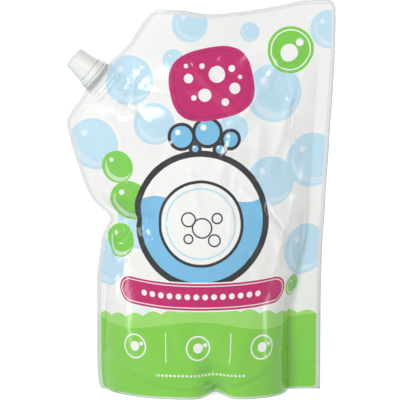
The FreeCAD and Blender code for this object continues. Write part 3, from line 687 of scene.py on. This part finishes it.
def film_ink(sheet, front):
    """Lays the inks of one panel in the order in which they are printed."""
    for x, z, radius in BIG_BUBBLES:
        sheet.print_bubble((x, z), radius, PALE_BLUE, PALER_BLUE)
    hill = sheet.maths("COSINE", (sheet.across - 8) / 30.0) * 4.0
    foam = sheet.maths("ABSOLUTE", sheet.maths("SINE", sheet.across / 4.6)) * 2.6
    sheet.print(sheet.cover(61 + hill + foam - sheet.up), FRESH_GREEN)
    lower = sheet.maths("SINE", (sheet.across + 30) / 17.0) * 3.0
    sheet.print(sheet.cover(54 + lower - sheet.up), GRASS_GREEN)
    if not front:
        return
    for x, z, radius in GREEN_BUBBLES:
        sheet.print_bubble((x, z), radius, BRIGHT_GREEN, WHITE)
    print_plate(sheet, (0, 131))
    print_sponge(sheet, (8, 229))
    print_ribbon(sheet)
    for x, z in FOOT_RINGS:
        sheet.print(sheet.ring((x, z), 8.5, 1.1), WHITE)
        sheet.print(sheet.disc((x, z), 3.6), WHITE)
        sheet.print(sheet.disc((x + 5.2, z + 2.2), 1.5), WHITE)
    for x in (-26, 22):
        sheet.print(sheet.within(sheet.across, x - 0.3, x + 0.3) * sheet.within(sheet.up, 27, 49), WHITE)
    beads = 0.9 - sheet.maths("ABSOLUTE", sheet.maths("PINGPONG", sheet.across, 3.0) - 1.5)
    row = sheet.within(sheet.up, 17, 18.6) * sheet.within(sheet.across, -34, 36)
    sheet.print(sheet.cover(beads) * row, WHITE)
    medal = (66, 253)
    sheet.print(sheet.disc(medal, 17), BRIGHT_GREEN)
    sheet.print(sheet.ring(medal, 14.4, 0.9), WHITE)
    sheet.print(sheet.disc((medal[0] - 1, medal[1] - 2), 6.4), WHITE)
    sheet.print(sheet.disc((medal[0] + 6.5, medal[1] + 5.5), 2.8), WHITE)


def print_plate(sheet, middle):
    """A round plate with a dark rim, half under blue water with white foam."""
    x, z = middle
    sheet.print(sheet.disc(middle, 49), WHITE)
    inside = sheet.disc(middle, 47)
    swell = sheet.maths("SINE", sheet.across / 7.0) * 2.2
    sheet.print(inside * sheet.cover(z + 16 + swell - sheet.up), WATER_BLUE)
    sheet.print(inside * sheet.within(sheet.up - swell, z + 14.6, z + 16.2), WHITE)
    sheet.print(sheet.disc((x, z - 3), 30), WHITE)
    sheet.print(sheet.ring((x, z - 3), 25.5, 1.2), PALE_BLUE)
    sheet.print(sheet.ring((x, z - 3), 30.5, 2.2), CHARCOAL)
    sheet.print(sheet.ring(middle, 48, 4.6), CHARCOAL)
    for dx, dz, radius in ((-14, 60, 9), (5, 63, 10), (22, 58, 6.5), (14, 51, 4.2), (-4, 51.5, 3.6)):
        sheet.print(sheet.disc((x + dx, z + dz), radius), WATER_BLUE)
        sheet.print(sheet.disc((x + dx - 0.3 * radius, z + dz + 0.35 * radius), 0.22 * radius), WHITE)
        sheet.print(sheet.ring((x + dx, z + dz), radius, 2.4), CHARCOAL)
    for dx, dz, radius in ((-9, 2, 5.0), (1, -4, 7.0), (12, 3, 3.6), (10, -13, 4.2), (-9, -12, 3.2)):
        sheet.print(sheet.ring((x + dx, z + dz - 2), radius, 1.1), CHARCOAL)


# Pores of the sponge as (across, up, radius) from its middle
SPONGE_PORES = [
    (-17, 4, 3.4), (-5, -8, 4.8), (4, 7, 6.0), (17, -3, 4.0), (-13, -10, 2.0), (15, 11, 2.4), (-7, 13, 2.0),
    (10, -13, 2.8), (-19, 13, 1.6), (21, 5, 1.5),
]


def print_sponge(sheet, middle):
    """A sponge seen from above: a rounded square, tilted, with paler pores."""
    dx, dz = sheet.across - middle[0], sheet.up - middle[1]
    lean = math.radians(11)
    along = dx * math.cos(lean) + dz * math.sin(lean)
    over = dz * math.cos(lean) - dx * math.sin(lean)
    sides = sheet.maths("ABSOLUTE", along / 31.0), sheet.maths("ABSOLUTE", over / 26.0)
    reach = (sides[0] ** 2.8 + sides[1] ** 2.8) ** (1 / 3)
    sheet.print(sheet.cover((1 - reach) * 28), MAGENTA)
    sheet.print(sheet.cover(0.5 - sheet.maths("ABSOLUTE", (0.9 - reach) * 28)), DEEP_MAGENTA, 0.6)
    for x, z, radius in SPONGE_PORES:
        sheet.print(sheet.disc((middle[0] + x, middle[1] + z), radius), WHITE, 0.95)


def print_ribbon(sheet):
    """A magenta ribbon with rounded ends, curved up at both sides, with a white line along it."""
    curve = sheet.across * sheet.across * 0.0012
    height = sheet.up - 75 - curve
    past = sheet.maths("MAXIMUM", sheet.maths("ABSOLUTE", sheet.across - 1) - 54, 0.0)
    reach = (past**2.0 + height * height) ** 0.5
    sheet.print(sheet.cover(10.6 - reach), WHITE)
    sheet.print(sheet.cover(9.6 - reach), MAGENTA)
    sheet.print(sheet.cover(0.35 - sheet.maths("ABSOLUTE", 7.8 - reach)), WHITE, 0.9)
    beads = 2.1 - ((sheet.maths("PINGPONG", sheet.across + 52, 6.5) - 3.25) ** 2.0 + height * height) ** 0.5
    sheet.print(sheet.cover(beads) * sheet.within(sheet.across, -46, 46), WHITE)


def printed_film(name, front):
    """The film material: inks, milky clear edge, gloss, and a faint waviness of the thin film."""
    sheet = Sheet(name, Coat_Weight=0.35, Coat_Roughness=0.06, IOR=1.43)
    film_ink(sheet, front)
    edge = sheet.node("ShaderNodeAttribute", {"attribute_name": "margin"}, {}).outputs["Fac"]
    clear = 1 - sheet.cover(Number(sheet, edge) - 3.2, 0.5)
    colour = sheet.mix(clear * 0.85, sheet.ink, CLEAR_EDGE)
    sheet.feed("Base Color", colour)
    sheet.feed("Roughness", 0.13 + 0.1 * sheet.noise(60, 3))
    waviness = sheet.noise(34, 4, (1.0, 1.0, 0.7)) + 0.35 * sheet.noise(140, 2)
    sheet.bump(waviness, 0.0012, 0.5)
    return sheet.material


front_panel.data.materials.append(printed_film("printed_front", True))
for piece in (back_panel, gusset):
    piece.data.materials.append(printed_film("printed_back", False))
for piece in (front_panel, back_panel, gusset):
    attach(piece, "pack")
    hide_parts("pouch")


# Spout fitment
# One moulding of white polyethylene: a neck with a two-start thread, a round flange, and below it a lens-shaped
# weld base with four ribs, which is sealed between the two panels along the slanted edge.

BORE_RADIUS = 5.4
NECK_RADIUS = 6.7
FLANGE_RADIUS = 12.0
FLANGE_THICKNESS = 2.3
BEAD_LEVEL = 5.6
BEAD_WIDTH = 1.2
BEAD_RISE = 1.1
MOUTH_LEVEL = 19.4
THREAD_LEAD = 5.0
THREAD_STARTS = 2
THREAD_RISE = 0.75
THREAD_HALF_WIDTH = 0.8
THREAD_FROM = 8.6
THREAD_TO = 17.4


def at_spout(across, depth, level):
    """Points given across the spout, front to back and along its axis, as points of the scene."""
    across, depth, level = np.broadcast_arrays(across, depth, level)
    return (
        SPOUT_FOOT
        + across[..., None] * SPOUT_ACROSS
        + depth[..., None] * np.array([0.0, 1.0, 0.0])
        + level[..., None] * SPOUT_AXIS
    )


def around(segments):
    """Angles round the spout axis, as one row."""
    return np.linspace(0, 2 * np.pi, segments, endpoint=False)[None, :]


def turned(profile, segments, wobble=None):
    """Points of a profile of (radius, level) turned round the spout axis; wobble adds to the radius by angle."""
    radius, level = np.array(profile, float).T[:, :, None]
    angle = around(segments)
    if wobble is not None:
        radius = radius + wobble(radius, level, angle)
    return at_spout(radius * np.cos(angle), radius * np.sin(angle), level + 0 * angle)


def rounded(profile, radius, closed=True, steps=4):
    """A profile with each corner replaced by a short arc-like bend through points on both sides of it."""
    result = []
    count = len(profile)
    corners = [np.array(p, float) for p in profile]
    for i, corner in enumerate(corners):
        before, after = corners[i - 1], corners[(i + 1) % count]
        if not closed and i in (0, count - 1):
            result.append(corner)
            continue
        back, ahead = before - corner, after - corner
        reach = min(radius, 0.45 * np.hypot(*back), 0.45 * np.hypot(*ahead))
        start = corner + back / np.hypot(*back) * reach
        stop = corner + ahead / np.hypot(*ahead) * reach
        for t in np.linspace(0, 1, steps):
            result.append((1 - t) ** 2 * start + 2 * t * (1 - t) * corner + t * t * stop)
    return result


def lens_ring(width, thickness, angle):
    """The outline of the weld base by angle: across as a cosine, depth as the height of its lens."""
    across = width / 2 * np.cos(angle) * 0.9999
    depth = lens_height(across, width, thickness) * np.clip(8 * np.sin(angle), -1, 1)
    return across, depth


def spout_points(segments):
    """The whole fitment as one closed skin: bore, foot of the weld base, its ribs, flange, neck and mouth."""
    angle = around(segments)
    rows = [turned([(BORE_RADIUS, MOUTH_LEVEL - 0.5), (BORE_RADIUS, 4), (BORE_RADIUS, -WELD_LENGTH)], segments)]
    thin = np.array([-0.45, -0.38, -0.3, 0.3, 0.38, 0.45]) * WELD_RIB_THICKNESS / 0.9
    levels = [(-WELD_LENGTH, 0.4), (-WELD_LENGTH + 0.4, 0)]
    for level in sorted(WELD_RIBS, reverse=True):
        levels += [(-level + step, rise) for step, rise in zip(thin, (0, 0.3, 1, 1, 0.3, 0))]
    levels.append((-0.01, 0))
    for level, share in levels:
        grow = 2 * WELD_RIB_RISE * (share - 1) if level > -WELD_LENGTH else -2 * WELD_RIB_RISE - share
        across, depth = lens_ring(WELD_WIDTH + grow, WELD_THICKNESS + grow, angle)
        rows.append(at_spout(across, depth, level))
    outside = [
        (FLANGE_RADIUS, 0), (FLANGE_RADIUS, FLANGE_THICKNESS), (NECK_RADIUS, FLANGE_THICKNESS),
        (NECK_RADIUS, BEAD_LEVEL), (NECK_RADIUS + BEAD_RISE, BEAD_LEVEL),
        (NECK_RADIUS, BEAD_LEVEL + BEAD_WIDTH), (NECK_RADIUS, MOUTH_LEVEL), (BORE_RADIUS, MOUTH_LEVEL),
    ]
    rows.append(turned(rounded(outside, 0.35, closed=False), segments))
    return np.concatenate(rows + [rows[0][:1]])


def helix_ridge(name, radius, rise, half_width, start, stop, turn):
    """A thread ridge: a rounded profile carried up a helix, sinking into the wall at both ends."""
    turns = (stop - start) / THREAD_LEAD
    along = np.linspace(0, 1, int(90 * turns))[:, None]
    profile = np.linspace(-1, 1, 9)[None, :]
    angle = turn + 2 * np.pi * turns * along
    fade = ease(0, 0.12, along) * ease(0, 0.12, 1 - along)
    out = radius + rise * ((1 - profile**2) * 1.45 * fade - 0.25)
    level = start + (stop - start) * along + half_width * profile
    return grid_mesh(name, at_spout(out * np.cos(angle), out * np.sin(angle), level), rise < 0)


def joined(name, pieces):
    """One object from several, which keeps all their faces."""
    with bpy.context.temp_override(active_object=pieces[0], selected_editable_objects=pieces):
        bpy.ops.object.join()
    pieces[0].name = name
    return pieces[0]


def weld_points(piece, gap=0.0004):
    """Joins points that lie on one another, so that seams and poles are closed."""
    weld = piece.modifiers.new("closed_seam", "WELD")
    weld.merge_threshold = gap * MM
    return piece


neck = grid_mesh("spout_fitment", spout_points(128), False, wrap=True)
threads = [
    helix_ridge(
        f"neck_thread_{i}", NECK_RADIUS, THREAD_RISE, THREAD_HALF_WIDTH, THREAD_FROM, THREAD_TO, np.pi * i
    )
    for i in range(THREAD_STARTS)
]
spout_piece = weld_points(joined("spout_fitment", [neck] + threads))


def axis_noise(paint, round_scale, length_scale, detail):
    """Random number that follows the spout axis: drawn out along it and closed all the way round."""
    place = paint.tree.nodes.new("ShaderNodeTexCoord").outputs["Object"]
    foot = tuple(SPOUT_FOOT * MM)
    place = paint.node("ShaderNodeVectorMath", {"operation": "SUBTRACT"}, {0: place, 1: foot}).outputs[0]
    sides = []
    for direction in (SPOUT_ACROSS, (0.0, 1.0, 0.0), SPOUT_AXIS):
        sockets = {0: place, 1: tuple(direction)}
        node = paint.node("ShaderNodeVectorMath", {"operation": "DOT_PRODUCT"}, sockets)
        sides.append(Number(paint, node.outputs["Value"]))
    radius = (sides[0] * sides[0] + sides[1] * sides[1] + 1e-9) ** 0.5
    parts = {0: sides[0] / radius * round_scale, 1: sides[1] / radius * round_scale, 2: sides[2] * length_scale}
    spot = paint.node("ShaderNodeCombineXYZ", {}, parts).outputs[0]
    node = paint.node("ShaderNodeTexNoise", {}, {"Vector": spot, "Scale": 1.0, "Detail": detail})
    return Number(paint, node.outputs["Fac"])


def moulded(name, colour, streak_colour, roughness, streak):
    """Satin moulded polyethylene, with faint streaks along the draw of the mould in colour, gloss and surface."""
    paint = Paint(name, IOR=1.51, Subsurface_Weight=0.25, Subsurface_Scale=0.003)
    streaks = axis_noise(paint, 14.0, 60.0, 3)
    paint.feed("Base Color", paint.mix(streaks, streak_colour, colour))
    paint.feed("Roughness", roughness - 0.05 + 0.1 * streaks)
    paint.bump(streaks + 0.2 * paint.noise(900, 2), streak, 0.6)
    return paint.material


SPOUT_WHITE = srgb(240, 241, 238)
SPOUT_STREAK = srgb(232, 234, 230)
spout_plastic = moulded("spout_plastic", SPOUT_WHITE, SPOUT_STREAK, 0.36, 0.0001)
spout_piece.data.materials.append(spout_plastic)
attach(spout_piece, "pack")
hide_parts("spout")


# Tamper band
# A flared ring of the cap moulding, held under the bead of the neck. Its eight thin bridges to the cap are
# short stubs here, as they are after the first opening.

BAND_FOOT = 2.5
BAND_TOP = 7.1
BAND_RADIUS = 12.15
BAND_TOP_RADIUS = 10.7
BAND_WALL = 1.2
BAND_LIP_RADIUS = 7.0
BAND_LIP_FOOT = 4.3
BAND_LIP_TOP = 5.3
BAND_SHOULDER = 4.5
BAND_BRIDGES = 8

band_outline = [
    (BAND_RADIUS - BAND_WALL, BAND_FOOT), (BAND_RADIUS - 0.05, BAND_FOOT),
    (BAND_RADIUS - 0.2, BAND_SHOULDER), (BAND_TOP_RADIUS, BAND_TOP), (BAND_TOP_RADIUS - BAND_WALL, BAND_TOP),
    (BAND_TOP_RADIUS - BAND_WALL + 0.1, BAND_LIP_TOP), (BAND_LIP_RADIUS, BAND_LIP_TOP),
    (BAND_LIP_RADIUS, BAND_LIP_FOOT), (BAND_RADIUS - BAND_WALL - 0.3, BAND_LIP_FOOT),
]
band_rows = rounded(band_outline, 0.45)
band = grid_mesh("tamper_band", turned(band_rows + band_rows[:1], 128), True, wrap=True)
bridges = []
lean = around(12)
rise = np.array([0, 0.8, 1.0, 1.0])[:, None]
size = np.array([1, 0.9, 0.7, 0.0])[:, None]
radius = BAND_TOP_RADIUS - BAND_WALL / 2 + 0.35 * size * np.cos(lean)
level = BAND_TOP - 0.1 + 0.25 * rise + 0 * lean
for i in range(BAND_BRIDGES):
    swing = 2 * np.pi * (i + 0.5) / BAND_BRIDGES + 0.05 * size * np.sin(lean)
    points = at_spout(radius * np.cos(swing), radius * np.sin(swing), level)
    bridges.append(grid_mesh(f"bridge_{i}", points, True, wrap=True))
band_piece = weld_points(joined("tamper_band", [band] + bridges))

BAND_WHITE = srgb(242, 243, 240)
BAND_STREAK = srgb(234, 236, 232)
band_piece.data.materials.append(moulded("band_plastic", BAND_WHITE, BAND_STREAK, 0.34, 0.0001))
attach(band_piece, "pack")
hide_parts("tamper_band")


# Screw cap
# A tapered white cap with a rounded tip, turned and lightly fluted for grip, hollow inside with a thread that
# runs between the threads of the neck.

CAP_FOOT = 7.3
CAP_LENGTH = 15.0
CAP_RADIUS = 10.5
CAP_TIP_RADIUS = 8.5
CAP_TIP_ROUNDING = 1.8
CAP_CROWN = 1.5
CAVITY_RADIUS = 8.1
CAVITY_TAPER = 0.6
CAP_FLUTES = 48
FLUTE_DEPTH = 0.07
CAP_TOP = CAP_FOOT + CAP_LENGTH
CROWN_FOOT = CAP_TOP - CAP_CROWN
CAVITY_SHOULDER = CAP_FOOT + 2
CAP_THREAD_RADIUS = 8.0
CAP_THREAD_HALF_WIDTH = 0.6
CAP_THREAD_FROM = 9.6
CAP_THREAD_TO = 17.6

flank = [
    (CAP_RADIUS + (CAP_TIP_RADIUS - CAP_RADIUS) * t, CAP_FOOT + 0.4 + (CAP_LENGTH - 2.4) * t)
    for t in np.linspace(0, 1, 12)
]
tip = []
for turn in np.linspace(1.4, 0, 9):
    radius = CAP_TIP_RADIUS - CAP_TIP_ROUNDING * (1 - math.sin(turn)) + 0.12 * math.sin(turn)
    tip.append((radius, CAP_TOP - CAP_TIP_ROUNDING * (1 - math.cos(turn))))
foot = [(CAVITY_RADIUS, CAVITY_SHOULDER), (CAVITY_RADIUS, CAP_FOOT), (CAP_RADIUS - 0.01, CAP_FOOT), flank[1]]
cavity = [(6, CROWN_FOOT), (CAVITY_RADIUS - CAVITY_TAPER, CROWN_FOOT), (CAVITY_RADIUS, CAVITY_SHOULDER)]
cap_rows = rounded(foot, 0.3, closed=False)[:-1] + flank[1:] + tip
cap_rows += [(4, CAP_TOP), (1, CAP_TOP), (0, CAP_TOP), (0, CROWN_FOOT), (4, CROWN_FOOT)]
cap_rows += rounded(cavity, 0.5, closed=False)


def flutes(radius, level, angle):
    """Shallow grip flutes on the flank: a cosine round the cap, fading out at its foot and tip."""
    outside = ease(8.2, 8.6, radius) * ease(CAP_FOOT + 1, CAP_FOOT + 2.5, level)
    return -FLUTE_DEPTH * (0.5 - 0.5 * np.cos(CAP_FLUTES * angle)) * outside * (1 - ease(17.5, 20, level))


cap_skin = grid_mesh("screw_cap", turned(cap_rows, 288, flutes), False, wrap=True)
cap_threads = []
for i in range(THREAD_STARTS):
    run = (CAP_THREAD_HALF_WIDTH, CAP_THREAD_FROM, CAP_THREAD_TO)
    cap_threads.append(
        helix_ridge(f"cap_thread_{i}", CAP_THREAD_RADIUS, -THREAD_RISE, *run, np.pi * (i + 0.5))
    )
cap_piece = weld_points(joined("screw_cap", [cap_skin] + cap_threads))

CAP_WHITE = srgb(248, 248, 245)
CAP_STREAK = srgb(240, 240, 236)
cap_piece.data.materials.append(moulded("cap_plastic", CAP_WHITE, CAP_STREAK, 0.38, 0.0002))
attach(cap_piece, "screw_cap")
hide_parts("cap")


# Sealing disc
# A thin foamed liner pressed into the crown of the cap, with the ring that the mouth of the spout leaves in it.

DISC_RADIUS = 7.2
DISC_FOOT = 19.7
DISC_THICKNESS = 0.8
DISC_TOP = DISC_FOOT + DISC_THICKNESS
DISC_PRESSED = DISC_FOOT + 0.12

disc_rows = [(0, DISC_FOOT), (4.6, DISC_FOOT), (5.3, DISC_FOOT), (5.5, DISC_PRESSED)]
disc_rows += [(6.5, DISC_PRESSED), (6.7, DISC_FOOT)]
disc_edge = [(6.8, DISC_FOOT), (DISC_RADIUS, DISC_FOOT), (DISC_RADIUS, DISC_TOP), (6.6, DISC_TOP)]
disc_rows += rounded(disc_edge, 0.15, closed=False)
disc_rows += [(3, DISC_TOP), (0, DISC_TOP)]
disc_piece = weld_points(grid_mesh("sealing_disc", turned(disc_rows, 96), False, wrap=True))

foam = Paint("liner_foam", IOR=1.45)
cells = foam.noise(1600, 4)
foam.feed("Base Color", foam.mix(cells, srgb(222, 222, 214), srgb(240, 240, 234)))
foam.feed("Roughness", 0.7 + 0.2 * cells)
foam.bump(cells, 0.0001, 0.8)
disc_piece.data.materials.append(foam.material)
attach(disc_piece, "liner")
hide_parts("sealing_disc")


# Studio
# A white floor and white surroundings, a large soft lamp at the upper left, a tall narrow one at each side, one
# behind, and a long lens that looks down by ten degrees.

WORLD_LIGHT = 0.15
FLOOR_GLOW = 0.75
CAMERA_TILT = 10.0
LENS = 350.0
FRAME_WIDTH = 0.2934
AIM = (-0.0005, 0.0, 0.14185)



def shows_white(tree):
    """1 for a ray that shows the background: from the camera, off a glossy face or through a clear one."""
    path = tree.nodes.new("ShaderNodeLightPath")
    shown = path.outputs["Is Camera Ray"]
    for kind in ("Is Glossy Ray", "Is Transmission Ray"):
        larger = tree.nodes.new("ShaderNodeMath")
        larger.operation = "MAXIMUM"
        tree.links.new(shown, larger.inputs[0])
        tree.links.new(path.outputs[kind], larger.inputs[1])
        shown = larger.outputs[0]
    return shown


world = bpy.data.worlds.new("white_room")
bpy.context.scene.world = world
world.use_nodes = True
room = world.node_tree
strength = room.nodes.new("ShaderNodeMath")
strength.operation = "MULTIPLY_ADD"
strength.inputs[1].default_value = 1.0 - WORLD_LIGHT
strength.inputs[2].default_value = WORLD_LIGHT
room.links.new(shows_white(room), strength.inputs[0])
room.nodes["Background"].inputs["Color"].default_value = (1, 1, 1, 1)
room.links.new(strength.outputs[0], room.nodes["Background"].inputs["Strength"])

bpy.ops.mesh.primitive_plane_add(size=8)
floor = bpy.context.object
floor.name = "floor"
white_floor = Paint("white_floor", Roughness=0.9)
white_floor.shader.inputs["Base Color"].default_value = (0.85, 0.85, 0.85, 1)
white_floor.shader.inputs["Specular IOR Level"].default_value = 0.0
seen_floor = shows_white(white_floor.tree)
white_floor.shader.inputs["Emission Strength"].default_value = FLOOR_GLOW
white_floor.feed("Emission Color", white_floor.mix(seen_floor, (0, 0, 0, 1), (1, 1, 1, 1)))
floor.data.materials.append(white_floor.material)


def soft_lamp(name, place, width, height, power):
    """A rectangular soft lamp that faces the middle of the object."""
    light = bpy.data.lights.new(name, "AREA")
    light.shape = "RECTANGLE"
    light.size = width
    light.size_y = height
    light.energy = power
    lamp = bpy.data.objects.new(name, light)
    bpy.context.scene.collection.objects.link(lamp)
    lamp.location = place
    aim = np.array(AIM) - np.array(place)
    lamp.rotation_euler = (math.atan2(np.hypot(aim[0], aim[1]), -aim[2]), 0, math.atan2(-aim[0], aim[1]))


soft_lamp("key", (-0.75, -1.8, 1.3), 0.9, 0.7, 29.0)
soft_lamp("side", (1.4, -1.0, 0.5), 0.16, 1.5, 5.0)
soft_lamp("left_edge", (-1.4, -0.7, 0.3), 0.16, 1.2, 4.0)
soft_lamp("back", (0.5, 1.9, 1.3), 1.0, 0.8, 13.0)

camera = bpy.data.cameras.new("camera")
camera.lens = LENS
camera.clip_end = 20
eye = bpy.data.objects.new("camera", camera)
bpy.context.scene.collection.objects.link(eye)
bpy.context.scene.camera = eye
distance = FRAME_WIDTH * LENS / camera.sensor_width
tilt = math.radians(CAMERA_TILT)
eye.location = (AIM[0], AIM[1] - distance * math.cos(tilt), AIM[2] + distance * math.sin(tilt))
eye.rotation_euler = (math.pi / 2 - tilt, 0, 0)
bpy.context.scene.view_settings.view_transform = "Standard"
